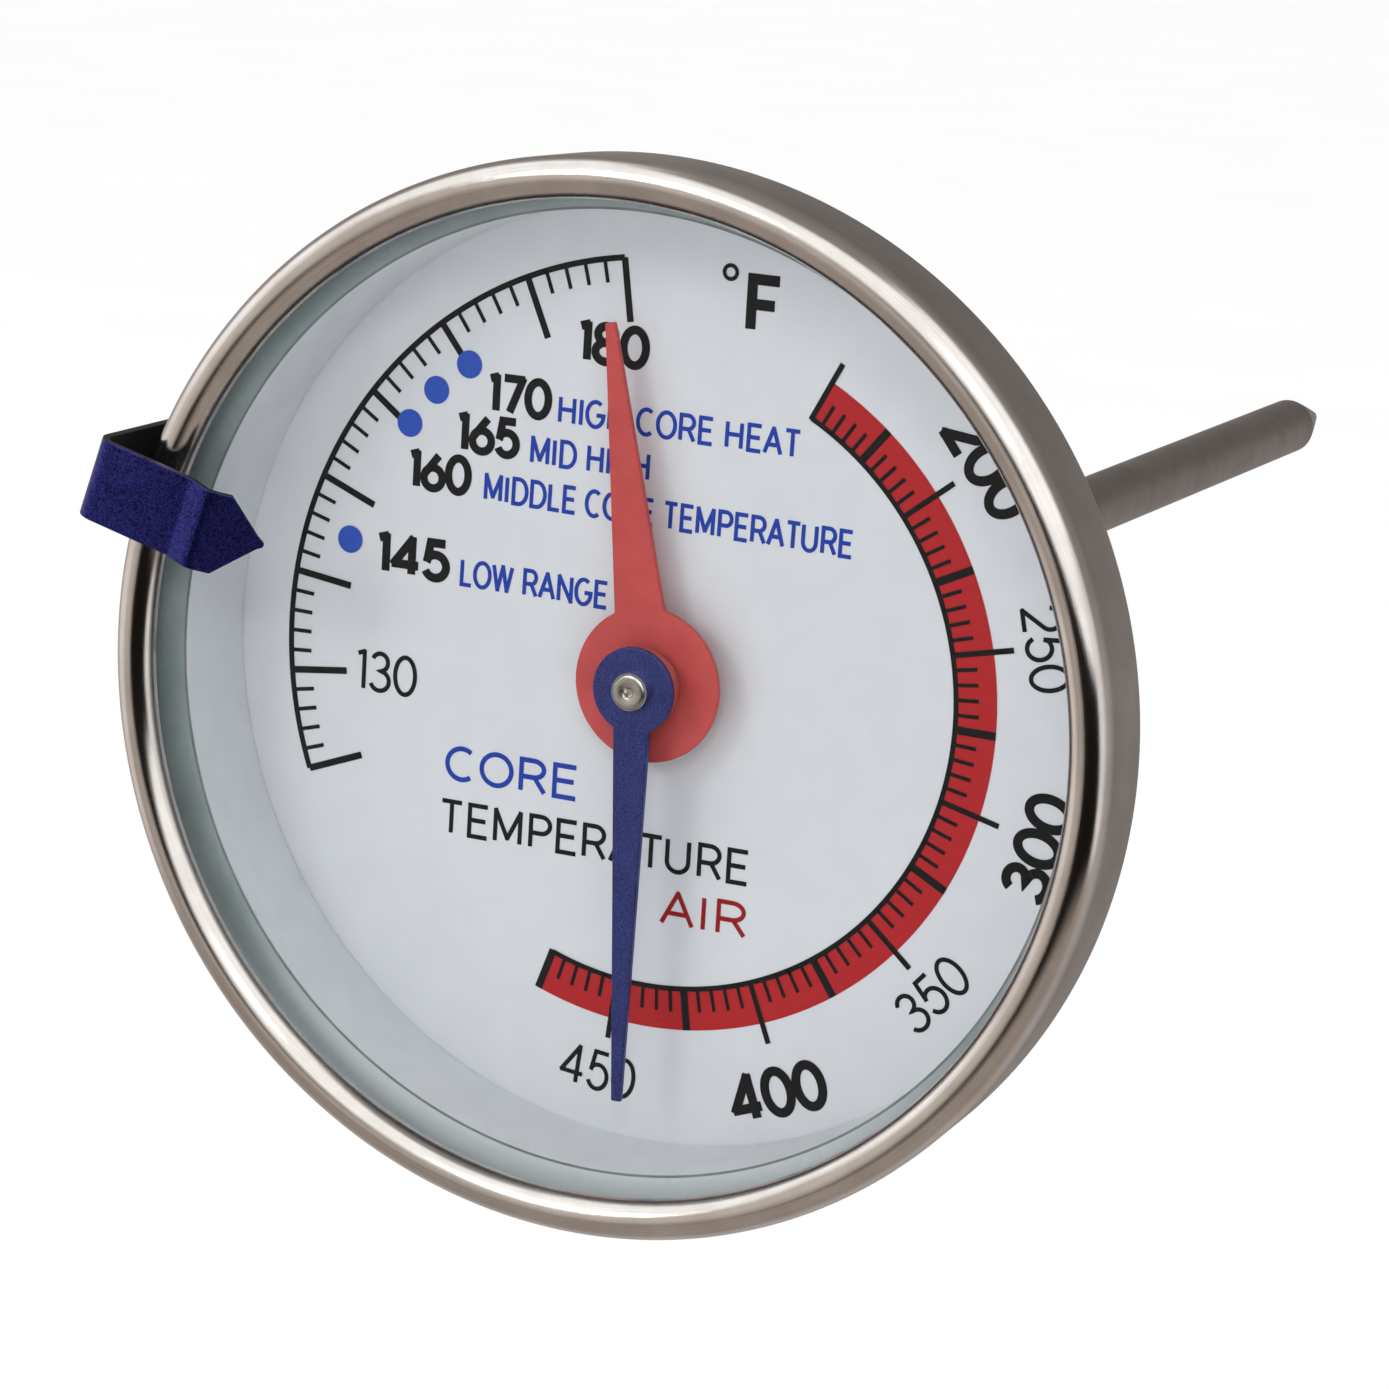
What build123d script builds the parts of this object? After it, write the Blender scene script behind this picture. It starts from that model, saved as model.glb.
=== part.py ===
"""Dual dial thermometer: a meat probe pointer and an oven pointer in one round head.

The stem runs along +Y, the dial faces -Y and its wording reads upright along +Z.
The origin is on the stem's axis, where the stem leaves the ferrule.
Depths are measured along +Y from the rim plane, the plane of the bezel's inner edge.
Clock angles are seen from the front: 0 at the top, turning clockwise.
"""
import os
from math import cos, pi, radians, sin

from build123d import *

os.makedirs("parts", exist_ok=True)

# ---- driving dimensions, mm and degrees ----
HEAD_R = 30.0  # outside radius of the bezel
HEAD_DEPTH = 18.0  # rim plane to the end of the ferrule
STEM_R = 2.0  # stem outside radius
STEM_REACH = 108.0  # ferrule to the very tip
TIP_LENGTH = 6.0  # cone at the stem's end
SHEET = 0.5  # stainless sheet of the bezel and the case
SMALL = 0.4  # thin sheet of the pointers and the marker
MEAT_REST = 179.0  # clock angle of the meat pointer at room temperature
OVEN_REST = -9.9  # clock angle of the oven pointer at room temperature
MARKER_ANGLE = 286.8  # clock angle where the target marker is clipped

# ---- bezel and glass ----
SKIRT_BACK = 5.1  # depth of the skirt's rolled rear edge
SKIRT_TAPER = 0.2  # how much narrower the skirt is at its rear edge
LIP_WIDTH = 2.34  # the rolled front lip, across
LIP_EDGE = 0.0  # depth of the lip's inner edge, which sets the rim plane
LENS_R = 28.9
LENS_FRONT = 0.5
LENS_THICK = 1.6
LENS_BACK = LENS_FRONT + LENS_THICK
SEAL_R = HEAD_R - SKIRT_TAPER - SHEET - 0.05
SEAL_COVER = 0.9  # how far the seal reaches in over the glass
LENS_CHAMFER = 0.3
FLANGE_R = HEAD_R - SKIRT_TAPER - SHEET - 0.1

# ---- dial, spacer ring and case ----
WALL_R = 26.9  # the light wall seen between glass and dial
WALL_THICK = 0.3
DIAL_FRONT = 8.6
DIAL_BACK = DIAL_FRONT + SHEET
CASE_R = WALL_R + WALL_THICK + SHEET
CASE_FLANGE = SKIRT_BACK - 2 * SHEET  # front of the case's flange, gripped by the skirt's rolled edge
FLOOR_FRONT = 14.0
FLOOR_BACK = FLOOR_FRONT + SHEET
FLOOR_R = 24.0
FERRULE_NECK_R = 2.9
VENT_COUNT = 6
VENT_RING_R = 18.5
VENT_R = 1.5

# ---- pointers and their shafts ----
SPINDLE_R = 0.5
SLEEVE_BORE_R = 0.8
SLEEVE_R = 1.4
RUNNING_GAP = 0.05  # radial clearance of a turning shaft in its guide
MEAT_FRONT = 4.8
OVEN_FRONT = 6.6
MEAT_LENGTH = 23.7
OVEN_LENGTH = 20.3
MEAT_DISC_R = 2.45
OVEN_DISC_R = 4.4
MEAT_BLADE = 2.2  # blade width where it meets the hub
OVEN_BLADE = 3.05
HUB_FILLET = 0.25
END_PLAY = 0.35  # axial gap between the two pointers' hubs
TIP_WIDTH = 0.6
HUB_NECK_R = 1.1
HUB_R = 2.2

# ---- bridge and oven coil ----
BRIDGE_FRONT = 9.9
BRIDGE_SHEET = 0.6
BRIDGE_WIDTH = 7.0
BRIDGE_LEG = 12.6  # centre of each leg from the axis
BRIDGE_FOOT = 17.0  # end of each foot from the axis
RIVET_AT = 15.2
RIVET_R = 0.8
COIL_FRONT = 11.2
COIL_WIDTH = 1.7
COIL_STRIP = 0.25
COIL_TURNS = 4.0
COIL_INNER_R = 2.6
COIL_OUTER_R = 10.4
POST_SIDE = 1.6  # square post that holds the coil's outer end
POST_OFFSET = 0.82  # the post stands beside the coil's end, not across it
BUSH_R = SLEEVE_R + 0.6  # outside of the oven shaft's bush in the bridge
RIVET_HEAD = 0.5  # how far a rivet's head stands out past its shank

# ---- inside the stem ----
TUBE_BORE_R = 1.6
TUBE_NECK_R = STEM_R - 0.2  # the tube is drawn down where the ferrule grips it
TUBE_FRONT = 13.4
TIP_FRONT = HEAD_DEPTH + STEM_REACH - TIP_LENGTH
HELIX_FRONT = 94.6
HELIX_BACK = 115.8
HELIX_PITCH = 1.9
HELIX_R = 1.15
HELIX_STRIP = (0.2, 1.1)  # thickness and width of the coiled strip
HELIX_GAP = 0.6  # the coil's plain ends, inside its two holders
GUIDE_LENGTH = 2.0
TIP_PLUG = 2.5  # how far the solid tip reaches up the tube's bore

# ---- target marker ----
MARKER_WIDTH = 4.75
MARKER_BEND = 0.5
MARKER_BACK = SKIRT_BACK + 0.6  # depth of the arm behind the skirt
MARKER_OUT_R = HEAD_R + 2.0  # the arm that runs back outside the skirt
MARKER_FRONT = -3.0
MARKER_CREASE = (26.1, -2.35)  # radius and depth of the crease beside the lip
MARKER_RIDGE = (24.65, -2.85)
MARKER_TIP_R = 21.65
MARKER_TIP_DEPTH = -0.45
MARKER_SHOULDER_R = 23.6

SECTION = Plane(origin=(0, -HEAD_DEPTH, 0), x_dir=(1, 0, 0), z_dir=(0, 0, 1))


def dial_plane(depth, clock=0.0):
    """A plane that faces the viewer at this depth, with its own y pointing at the clock angle."""
    turn = radians(clock)
    return Plane(origin=(0, depth - HEAD_DEPTH, 0), x_dir=(cos(turn), 0, -sin(turn)), z_dir=(0, -1, 0))


def radial_plane(clock):
    """A plane through the axis: x runs outward at the clock angle, y runs back along the axis."""
    turn = radians(clock)
    return Plane(
        origin=(0, -HEAD_DEPTH, 0),
        x_dir=(sin(turn), 0, cos(turn)),
        z_dir=(-cos(turn), 0, sin(turn)),
    )


def band(inner, outer, front, back):
    """The cross-section of a plain ring: two radii and two depths."""
    with Locations((inner, front)):
        Rectangle(outer - inner, back - front, align=(Align.MIN, Align.MIN))


def pointer_outline(disc_r, blade_width, length):
    """A round hub with a long blade that narrows towards its blunt tip."""
    Polygon(
        (-blade_width / 2, 0),
        (-TIP_WIDTH / 2, length),
        (TIP_WIDTH / 2, length),
        (blade_width / 2, 0),
        align=None,
    )
    Circle(disc_r)


# ---- head: bezel, glass and its seal ----
with BuildPart() as bezel:
    with BuildSketch(SECTION):
        back_r = HEAD_R - SKIRT_TAPER
        lip_r = HEAD_R - LIP_WIDTH
        crest_r = HEAD_R - LIP_WIDTH / 2
        crest = LIP_EDGE - LIP_WIDTH / 2
        with BuildLine():
            Line((back_r, SKIRT_BACK - SHEET), (HEAD_R, LIP_EDGE))
            ThreePointArc((HEAD_R, LIP_EDGE), (crest_r, crest), (lip_r, LIP_EDGE))
            Line((lip_r, LIP_EDGE), (lip_r + SHEET, LIP_EDGE))
            ThreePointArc((lip_r + SHEET, LIP_EDGE), (crest_r, crest + SHEET), (HEAD_R - SHEET, LIP_EDGE))
            Polyline(
                (HEAD_R - SHEET, LIP_EDGE),
                (back_r - SHEET, SKIRT_BACK - SHEET),
                (CASE_R + 0.3, SKIRT_BACK - SHEET),
                (CASE_R + 0.3, SKIRT_BACK),
                (back_r - SHEET, SKIRT_BACK),
            )
            TangentArc((back_r - SHEET, SKIRT_BACK), (back_r, SKIRT_BACK - SHEET), tangent=(1, 0))
        make_face()
    revolve(axis=Axis.Y)
bezel.part.label = "bezel"
export_step(bezel.part, "parts/bezel.step")

with BuildPart() as lens:
    with BuildSketch(SECTION):
        band(0, LENS_R, LENS_FRONT, LENS_BACK)
    revolve(axis=Axis.Y)
    chamfer(lens.edges().filter_by(GeomType.CIRCLE), length=LENS_CHAMFER)
lens.part.label = "lens"
export_step(lens.part, "parts/lens.step")

with BuildPart() as lens_seal:
    with BuildSketch(SECTION):
        band(LENS_R - SEAL_COVER, SEAL_R, LIP_EDGE, LENS_FRONT)
        band(LENS_R, SEAL_R, LENS_FRONT, LENS_BACK)
    revolve(axis=Axis.Y)
lens_seal.part.label = "lens_seal"
export_step(lens_seal.part, "parts/lens_seal.step")

# ---- head: spacer ring, dial and case ----
with BuildPart() as spacer_ring:
    with BuildSketch(SECTION):
        band(WALL_R, WALL_R + WALL_THICK, LENS_BACK, DIAL_FRONT)
        band(WALL_R, FLANGE_R, LENS_BACK, LENS_BACK + WALL_THICK)
        band(FLANGE_R - WALL_THICK, FLANGE_R, LENS_BACK, CASE_FLANGE)
    revolve(axis=Axis.Y)
spacer_ring.part.label = "spacer_ring"
export_step(spacer_ring.part, "parts/spacer_ring.step")

with BuildPart() as dial_plate:
    with BuildSketch(SECTION):
        band(SLEEVE_R + 0.5, WALL_R + WALL_THICK - 0.05, DIAL_FRONT, DIAL_BACK)
    revolve(axis=Axis.Y)
dial_plate.part.label = "dial_plate"
export_step(dial_plate.part, "parts/dial_plate.step")

with BuildPart() as case_cup:
    with BuildSketch(SECTION):
        with BuildLine():
            Polyline(
                (CASE_R - SHEET, CASE_FLANGE),
                (FLANGE_R, CASE_FLANGE),
                (FLANGE_R, CASE_FLANGE + SHEET),
                (CASE_R, CASE_FLANGE + SHEET),
                (CASE_R, DIAL_BACK + SHEET),
                (CASE_R - 1.0, DIAL_BACK + SHEET),
                (FLOOR_R, FLOOR_BACK),
                (FERRULE_NECK_R, FLOOR_BACK),
                (FERRULE_NECK_R, FLOOR_FRONT),
                (FLOOR_R - 0.4, FLOOR_FRONT),
                (CASE_R - 1.5, DIAL_BACK),
                (CASE_R - SHEET, DIAL_BACK),
                close=True,
            )
        make_face()
    revolve(axis=Axis.Y)
    fillet(case_cup.edges().filter_by(GeomType.CIRCLE).sort_by(Axis.Y)[-1], radius=0.2)
    with BuildSketch(dial_plane(FLOOR_BACK)):
        with PolarLocations(VENT_RING_R, VENT_COUNT, start_angle=180 / VENT_COUNT):
            Circle(VENT_R)
        with Locations((-RIVET_AT, 0), (RIVET_AT, 0)):
            Circle(RIVET_R)
    extrude(amount=2 * SHEET, both=True, mode=Mode.SUBTRACT)
case_cup.part.label = "case_cup"
export_step(case_cup.part, "parts/case_cup.step")

# ---- bridge that carries the oven shaft ----
with BuildPart() as bearing_bridge:
    foot = FLOOR_FRONT - BRIDGE_SHEET / 2
    deck = BRIDGE_FRONT + BRIDGE_SHEET / 2
    with BuildSketch(SECTION):
        with BuildLine():
            FilletPolyline(
                (-BRIDGE_FOOT, foot),
                (-BRIDGE_LEG, foot),
                (-BRIDGE_LEG, deck),
                (BRIDGE_LEG, deck),
                (BRIDGE_LEG, foot),
                (BRIDGE_FOOT, foot),
                radius=BRIDGE_SHEET,
            )
        trace(line_width=BRIDGE_SHEET)
    extrude(amount=BRIDGE_WIDTH / 2, both=True)
    with BuildSketch(dial_plane(FLOOR_FRONT)):
        Circle(BUSH_R)
        with Locations((-RIVET_AT, 0), (RIVET_AT, 0)):
            Circle(RIVET_R)
    extrude(amount=FLOOR_FRONT - DIAL_BACK, mode=Mode.SUBTRACT)
bearing_bridge.part.label = "bearing_bridge"
export_step(bearing_bridge.part, "parts/bearing_bridge.step")

with BuildPart() as bridge_rivets:
    with BuildSketch(dial_plane(FLOOR_FRONT - BRIDGE_SHEET - SHEET)):
        with Locations((-RIVET_AT, 0), (RIVET_AT, 0)):
            Circle(RIVET_R)
    extrude(amount=-(BRIDGE_SHEET + 3 * SHEET))
    for head_front in (FLOOR_FRONT - BRIDGE_SHEET - SHEET, FLOOR_BACK):
        with BuildSketch(dial_plane(head_front)):
            with Locations((-RIVET_AT, 0), (RIVET_AT, 0)):
                Circle(RIVET_R + RIVET_HEAD)
        extrude(amount=-SHEET)
bridge_rivets.part.label = "bridge_rivets"
export_step(bridge_rivets.part, "parts/bridge_rivets.step")

# ---- oven side: spiral bimetal, its post, bush, sleeve, boss and pointer ----
with BuildPart() as oven_coil:
    steps = int(COIL_TURNS * 8)
    growth = (COIL_OUTER_R - COIL_INNER_R) / steps
    spiral = [
        ((COIL_INNER_R + growth * i) * sin(pi * i / 4), (COIL_INNER_R + growth * i) * cos(pi * i / 4))
        for i in range(steps + 1)
    ]
    with BuildSketch(dial_plane(COIL_FRONT)):
        with BuildLine():
            Spline(*spiral)
        trace(line_width=COIL_STRIP)
    extrude(amount=-COIL_WIDTH)
oven_coil.part.label = "oven_coil"
export_step(oven_coil.part, "parts/oven_coil.step")

with BuildPart() as coil_post:
    with BuildSketch(dial_plane(COIL_FRONT - 0.3)):
        with Locations((POST_OFFSET, COIL_OUTER_R)):
            Rectangle(POST_SIDE, POST_SIDE)
    extrude(amount=COIL_FRONT - 0.3 - FLOOR_FRONT)
coil_post.part.label = "coil_post"
export_step(coil_post.part, "parts/coil_post.step")

with BuildPart() as oven_bush:
    with BuildSketch(SECTION):
        band(SLEEVE_R + RUNNING_GAP, BUSH_R, DIAL_BACK + SMALL, BRIDGE_FRONT + BRIDGE_SHEET + 0.3)
        band(SLEEVE_R + RUNNING_GAP, SLEEVE_R + 1.4, DIAL_BACK + SMALL, BRIDGE_FRONT)
    revolve(axis=Axis.Y)
oven_bush.part.label = "oven_bush"
export_step(oven_bush.part, "parts/oven_bush.step")

with BuildPart() as oven_sleeve:
    with BuildSketch(SECTION):
        band(SLEEVE_BORE_R, SLEEVE_R, OVEN_FRONT, COIL_FRONT + COIL_WIDTH)
        band(SLEEVE_BORE_R, SLEEVE_R + 0.6, COIL_FRONT, COIL_FRONT + COIL_WIDTH)
    revolve(axis=Axis.Y)
oven_sleeve.part.label = "oven_sleeve"
export_step(oven_sleeve.part, "parts/oven_sleeve.step")

with BuildPart() as oven_boss:
    with BuildSketch(SECTION):
        band(SLEEVE_R, HUB_R, OVEN_FRONT + SMALL, DIAL_FRONT - SMALL)
    revolve(axis=Axis.Y)
oven_boss.part.label = "oven_boss"
export_step(oven_boss.part, "parts/oven_boss.step")

with BuildPart() as oven_pointer:
    with BuildSketch(dial_plane(OVEN_FRONT, OVEN_REST)):
        pointer_outline(OVEN_DISC_R, OVEN_BLADE, OVEN_LENGTH)
        Circle(SLEEVE_R, mode=Mode.SUBTRACT)
    extrude(amount=-SMALL)
oven_pointer.part.label = "oven_pointer"
export_step(oven_pointer.part, "parts/oven_pointer.step")

# ---- meat side: spindle, hub and pointer ----
with BuildPart() as meat_spindle:
    with BuildSketch(SECTION):
        band(0, SPINDLE_R, MEAT_FRONT - 0.35, HELIX_FRONT - SMALL)
    revolve(axis=Axis.Y)
meat_spindle.part.label = "meat_spindle"
export_step(meat_spindle.part, "parts/meat_spindle.step")

with BuildPart() as meat_hub:
    with BuildSketch(SECTION):
        band(SPINDLE_R, HUB_NECK_R, MEAT_FRONT - 0.6, MEAT_FRONT + SMALL)
        band(SPINDLE_R, HUB_R, MEAT_FRONT + SMALL, OVEN_FRONT - END_PLAY)
    revolve(axis=Axis.Y)
    front_edges = meat_hub.edges().filter_by(GeomType.CIRCLE).sort_by(Axis.Y)[:2]
    fillet(front_edges.sort_by(SortBy.RADIUS)[-1], radius=HUB_FILLET)
meat_hub.part.label = "meat_hub"
export_step(meat_hub.part, "parts/meat_hub.step")

with BuildPart() as meat_pointer:
    with BuildSketch(dial_plane(MEAT_FRONT, MEAT_REST)):
        pointer_outline(MEAT_DISC_R, MEAT_BLADE, MEAT_LENGTH)
        Circle(HUB_NECK_R, mode=Mode.SUBTRACT)
    extrude(amount=-SMALL)
meat_pointer.part.label = "meat_pointer"
export_step(meat_pointer.part, "parts/meat_pointer.step")

# ---- stem: ferrule, tube, tip and what they hold ----
with BuildPart() as ferrule:
    with BuildSketch(SECTION):
        with BuildLine():
            Polyline(
                (TUBE_NECK_R, TUBE_FRONT),
                (FERRULE_NECK_R + 0.6, TUBE_FRONT),
                (FERRULE_NECK_R + 0.6, FLOOR_FRONT),
                (FERRULE_NECK_R, FLOOR_FRONT),
                (FERRULE_NECK_R, FLOOR_BACK),
                (2.3 * STEM_R, FLOOR_BACK),
                (2.3 * STEM_R, FLOOR_BACK + 0.9),
                (1.7 * STEM_R, FLOOR_BACK + 1.2),
                (1.35 * STEM_R, HEAD_DEPTH),
                (TUBE_NECK_R, HEAD_DEPTH),
                close=True,
            )
        make_face()
    revolve(axis=Axis.Y)
ferrule.part.label = "ferrule"
export_step(ferrule.part, "parts/ferrule.step")

with BuildPart() as stem_tube:
    with BuildSketch(SECTION):
        band(TUBE_BORE_R, TUBE_NECK_R, TUBE_FRONT, HEAD_DEPTH)
        band(TUBE_BORE_R, STEM_R, HEAD_DEPTH, TIP_FRONT)
    revolve(axis=Axis.Y)
stem_tube.part.label = "stem_tube"
export_step(stem_tube.part, "parts/stem_tube.step")

with BuildPart() as stem_tip:
    blunt = 0.22 * STEM_R
    end = HEAD_DEPTH + STEM_REACH
    with BuildSketch(SECTION):
        with BuildLine():
            Polyline((STEM_R, TIP_FRONT), (TUBE_BORE_R, TIP_FRONT), (TUBE_BORE_R, TIP_FRONT - TIP_PLUG))
            Polyline((TUBE_BORE_R, TIP_FRONT - TIP_PLUG), (0, TIP_FRONT - TIP_PLUG), (0, end))
            TangentArc((0, end), (blunt, end - 0.45 * blunt), tangent=(1, 0))
            ThreePointArc(
                (blunt, end - 0.45 * blunt),
                (0.65 * STEM_R, end - 0.47 * TIP_LENGTH),
                (STEM_R, TIP_FRONT),
            )
        make_face()
    revolve(axis=Axis.Y)
stem_tip.part.label = "stem_tip"
export_step(stem_tip.part, "parts/stem_tip.step")

with BuildPart() as coil_anchor:
    with BuildSketch(SECTION):
        band(0, TUBE_BORE_R, HELIX_BACK, TIP_FRONT - TIP_PLUG)
    revolve(axis=Axis.Y)
coil_anchor.part.label = "coil_anchor"
export_step(coil_anchor.part, "parts/coil_anchor.step")

with BuildPart() as stem_coil:
    start = (0, HELIX_FRONT + HELIX_GAP - HEAD_DEPTH, 0)
    height = HELIX_BACK - HELIX_FRONT - 2 * HELIX_GAP
    with BuildLine() as helix_path:
        Helix(HELIX_PITCH, height, HELIX_R, center=start, direction=(0, 1, 0))
    across = (helix_path.line @ 0) - Vector(*start)
    with BuildSketch(Plane(origin=helix_path.line @ 0, x_dir=across, z_dir=helix_path.line % 0)):
        Rectangle(*HELIX_STRIP)
    sweep(is_frenet=True)
stem_coil.part.label = "stem_coil"
export_step(stem_coil.part, "parts/stem_coil.step")

for guide_name, guide_front in (("upper_guide", TUBE_FRONT + 0.6), ("lower_guide", HELIX_FRONT - 6.0)):
    with BuildPart() as guide:
        with BuildSketch(SECTION):
            band(SPINDLE_R + RUNNING_GAP, TUBE_BORE_R, guide_front, guide_front + GUIDE_LENGTH)
        revolve(axis=Axis.Y)
    guide.part.label = guide_name
    export_step(guide.part, f"parts/{guide_name}.step")

# ---- target marker: one strip bent over the bezel, with an arrow end over the glass ----
with BuildPart() as target_marker:
    with BuildSketch(radial_plane(MARKER_ANGLE)):
        with BuildLine():
            FilletPolyline(
                (CASE_R + 1.0, MARKER_BACK),
                (MARKER_OUT_R, MARKER_BACK),
                (MARKER_OUT_R, MARKER_FRONT),
                MARKER_CREASE,
                MARKER_RIDGE,
                (MARKER_TIP_R, MARKER_TIP_DEPTH),
                radius=MARKER_BEND,
            )
        trace(line_width=SMALL)
    extrude(amount=MARKER_WIDTH / 2, both=True)
    with BuildSketch(dial_plane(0, MARKER_ANGLE)):
        with BuildLine():
            half = MARKER_WIDTH / 2
            Polyline(
                (0, MARKER_TIP_R),
                (half, MARKER_SHOULDER_R),
                (half, HEAD_R + 4),
                (-half, HEAD_R + 4),
                (-half, MARKER_SHOULDER_R),
                close=True,
            )
        make_face()
    extrude(amount=HEAD_DEPTH, both=True, mode=Mode.INTERSECT)
target_marker.part.label = "target_marker"
export_step(target_marker.part, "parts/target_marker.step")
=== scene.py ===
"""The looks of the dial thermometer: fine meshes, printed dial, materials, light and camera.

Lengths are in metres in the CAD frame: the stem runs along +Y, the dial faces -Y, wording upright along +Z.
Profiles and print are written in millimetres, with depths counted back from the bezel's rim plane.
Clock angles are seen from the front: 0 at the top, turning clockwise.
"""
from math import atan2, ceil, cos, degrees, exp, pi, radians, sin, sqrt, tan

import bmesh
import bpy
from mathutils import Matrix, Vector


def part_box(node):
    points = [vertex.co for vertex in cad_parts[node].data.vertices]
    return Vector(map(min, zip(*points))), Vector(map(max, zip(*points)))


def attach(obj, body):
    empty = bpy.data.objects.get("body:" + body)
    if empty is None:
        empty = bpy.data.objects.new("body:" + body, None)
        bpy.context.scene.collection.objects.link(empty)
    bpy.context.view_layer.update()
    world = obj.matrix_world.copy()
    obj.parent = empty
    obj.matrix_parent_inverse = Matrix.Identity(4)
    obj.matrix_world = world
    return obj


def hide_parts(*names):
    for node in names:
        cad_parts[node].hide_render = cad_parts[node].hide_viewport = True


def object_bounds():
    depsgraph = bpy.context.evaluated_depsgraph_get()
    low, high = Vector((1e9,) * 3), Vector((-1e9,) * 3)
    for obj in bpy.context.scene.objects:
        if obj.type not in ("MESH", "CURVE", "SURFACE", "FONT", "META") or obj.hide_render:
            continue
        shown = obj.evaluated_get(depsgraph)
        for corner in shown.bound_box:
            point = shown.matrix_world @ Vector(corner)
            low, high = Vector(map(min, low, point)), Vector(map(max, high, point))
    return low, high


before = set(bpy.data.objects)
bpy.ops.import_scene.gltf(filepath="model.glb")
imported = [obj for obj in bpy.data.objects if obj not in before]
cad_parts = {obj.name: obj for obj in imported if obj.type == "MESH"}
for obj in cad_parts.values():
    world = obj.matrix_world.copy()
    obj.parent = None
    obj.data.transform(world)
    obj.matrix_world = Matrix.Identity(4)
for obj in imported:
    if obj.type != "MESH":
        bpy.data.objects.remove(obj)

MM = 0.001
cad_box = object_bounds()


# ---- places read from the frame, in mm ----
def front_of(node):
    """Depth of a node's front face behind the frame's origin plane, in mm."""
    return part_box(node)[0].y / MM


def back_of(node):
    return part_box(node)[1].y / MM


HEAD_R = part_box("bezel")[1].x / MM
LIP_R = 1.17  # radius of the bezel's half-round lip
RIM_Y = front_of("bezel") + LIP_R
SKIRT_BACK = back_of("bezel") - RIM_Y
LENS_FRONT = front_of("lens") - RIM_Y
LENS_BACK = back_of("lens") - RIM_Y
LENS_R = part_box("lens")[1].x / MM
DIAL_FRONT = front_of("dial_plate") - RIM_Y
DIAL_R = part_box("dial_plate")[1].x / MM
MEAT_FRONT = front_of("meat_pointer") - RIM_Y
OVEN_FRONT = front_of("oven_pointer") - RIM_Y
PLATE = 0.4  # sheet of the pointers and the marker
STEM_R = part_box("stem_tube")[1].x / MM
TIP_Y = back_of("stem_tip") - RIM_Y
TIP_START = back_of("stem_tube") - RIM_Y
FERRULE_END = back_of("ferrule") - RIM_Y
WALL_R = 26.9  # inside radius of the light wall round the dial
SHEET = 0.5  # sheet of the bezel, the dial and the case
SKIRT_TAPER = 0.2  # how much narrower the bezel is at its rear edge
ROLL_R = 28.0  # inner radius of the edge rolled in behind the case
SEAL_COVER = 0.9  # how far the seal reaches in over the glass
SEAL_WALL = 0.3
SHOULDER = 2.0  # depth of the wall's skirt under the glass
WALL_SHEET = 0.3
DIAL_HOLE_R = 1.9

MEAT_REST = 179.0  # clock angles at rest
OVEN_REST = -9.9
MARKER_ANGLE = 286.8
MARKER_WIDTH = 4.75
MARKER_BEND = 0.75  # radius of the strip's bends
MARKER_HOOK = 1.3  # how far the strip reaches in behind the skirt
ARROW_STATIONS = (23.0, 22.4, 21.95)  # radii that shape the arrow's slanted sides
MARKER_BACK = back_of("target_marker") - RIM_Y - PLATE / 2
MARKER_OUT_R = HEAD_R + 2.0
MARKER_FRONT = -3.0
MARKER_CREASE = (26.1, -2.35)  # radius and depth
MARKER_RIDGE = (24.65, -2.85)
MARKER_SHOULDER_R = 23.6
MARKER_TIP = (21.65, -0.45)


# ---- mesh helpers ----
def add_piece(name, verts, faces, materials, body, stands_for=(), crease=35, face_slots=None):
    """A mesh piece from points in mm, riding on a body and standing for CAD nodes."""
    mesh = bpy.data.meshes.new(name)
    mesh.from_pydata([(x * MM, y * MM, z * MM) for x, y, z in verts], [], faces)
    for material in materials:
        mesh.materials.append(material)
    if face_slots:
        for polygon, index in zip(mesh.polygons, face_slots):
            polygon.material_index = index
    mesh.shade_smooth()
    mesh.set_sharp_from_angle(angle=radians(crease))
    piece = bpy.data.objects.new(name, mesh)
    bpy.context.scene.collection.objects.link(piece)
    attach(piece, body)
    if stands_for:
        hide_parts(*stands_for)
    return piece


def soften(piece, width):
    """Small rounded edges, in mm."""
    bevel = piece.modifiers.new("soft_edges", "BEVEL")
    bevel.width = width * MM
    bevel.segments = 2
    bevel.limit_method = "ANGLE"
    bevel.angle_limit = radians(30)
    bevel.harden_normals = True
    return piece


def arc(cx, cy, rx, ry, start, end, step=9.0):
    """Points on an ellipse, in degrees counted counter-clockwise from +x."""
    count = max(2, ceil(abs(end - start) / step))
    angles = [radians(start + (end - start) * i / count) for i in range(count + 1)]
    return [(cx + rx * cos(a), cy + ry * sin(a)) for a in angles]


def rounded(points, radius, closed=False, steps=5):
    """The same outline with its corners turned into arcs, as far as the neighbouring edges leave room."""
    result = []
    count = len(points)
    for i, corner in enumerate(points):
        if not closed and i in (0, count - 1):
            result.append(corner)
            continue
        here = Vector(corner)
        to_last = Vector(points[i - 1]) - here
        to_next = Vector(points[(i + 1) % count]) - here
        half = to_last.angle(to_next, pi) / 2
        if half > radians(86):
            result.append(corner)
            continue
        cut = min(radius / tan(half), 0.49 * to_last.length, 0.49 * to_next.length)
        first = here + to_last.normalized() * cut
        last = here + to_next.normalized() * cut
        centre = here + (to_last.normalized() + to_next.normalized()).normalized() * (cut / cos(half))
        a, b = first - centre, last - centre
        sweep = atan2(a.x * b.y - a.y * b.x, a.dot(b))
        for k in range(steps + 1):
            turn = sweep * k / steps
            result.append(
                (centre.x + a.x * cos(turn) - a.y * sin(turn), centre.y + a.x * sin(turn) + a.y * cos(turn))
            )
    return result


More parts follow.
